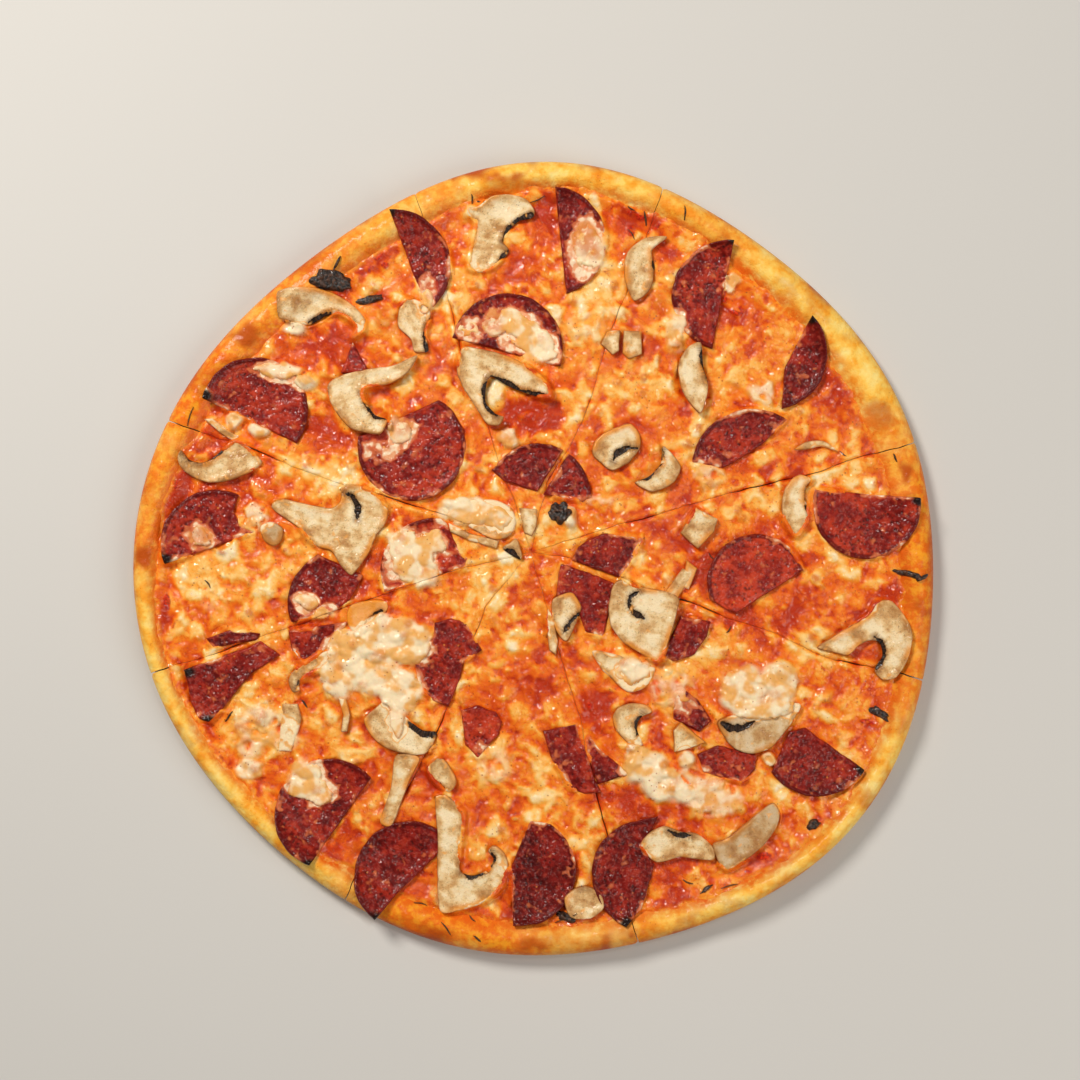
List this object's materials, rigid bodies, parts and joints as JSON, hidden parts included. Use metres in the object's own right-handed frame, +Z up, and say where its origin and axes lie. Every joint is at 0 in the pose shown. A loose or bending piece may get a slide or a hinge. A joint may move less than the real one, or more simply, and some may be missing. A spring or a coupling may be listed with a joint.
{
  "type": "sliced pizza",
  "caption": "Round baked pizza cut into wedges that still lie together, with a raised crust rim, melted cheese over sauce, round salami slices and cut mushrooms on top.",
  "frame": {"origin": "under the middle of the pizza, on the surface that it lies on", "axes": "+Z up through the toppings; +X to the right and +Y away from the viewer when it is seen from above"},
  "size_m": [0.297, 0.2948, 0.014],
  "materials": {
    "crust": "baked wheat dough, golden and dry, paler in patches",
    "cheese": "melted cheese over tomato sauce, mottled orange and cream, oily gloss",
    "salami": "dark red baked salami, fine pits, oily gloss",
    "mushroom": "cream mushroom flesh, thin brown skin, dark gills"
  },
  "bodies": {
    "root": {"crust_1": "crust", "crust_2": "crust", "crust_3": "crust", "crust_4": "crust", "crust_5": "crust", "crust_6": "crust", "crust_7": "crust", "crust_8": "crust", "cheese_1": "cheese", "cheese_2": "cheese", "cheese_3": "cheese", "cheese_4": "cheese", "cheese_5": "cheese", "cheese_6": "cheese", "cheese_7": "cheese", "cheese_8": "cheese", "salami_1": "salami", "salami_2": "salami", "salami_3": "salami", "salami_4": "salami", "salami_5": "salami", "salami_6": "salami", "salami_7": "salami", "salami_8": "salami", "salami_9": "salami", "salami_10": "salami", "salami_11": "salami", "salami_12": "salami", "salami_13": "salami", "salami_14": "salami", "salami_15": "salami", "salami_16": "salami", "salami_17": "salami", "salami_18": "salami", "salami_19": "salami", "salami_20": "salami", "salami_21": "salami", "salami_22": "salami", "salami_23": "salami", "salami_24": "salami", "salami_25": "salami", "salami_26": "salami", "salami_27": "salami", "salami_28": "salami", "salami_29": "salami", "mushroom_1": "mushroom", "mushroom_2": "mushroom", "mushroom_3": "mushroom", "mushroom_4": "mushroom", "mushroom_5": "mushroom", "mushroom_6": "mushroom", "mushroom_7": "mushroom", "mushroom_8": "mushroom", "mushroom_9": "mushroom", "mushroom_10": "mushroom", "mushroom_11": "mushroom", "mushroom_12": "mushroom", "mushroom_13": "mushroom", "mushroom_14": "mushroom", "mushroom_15": "mushroom"}
  },
  "joints": []
}
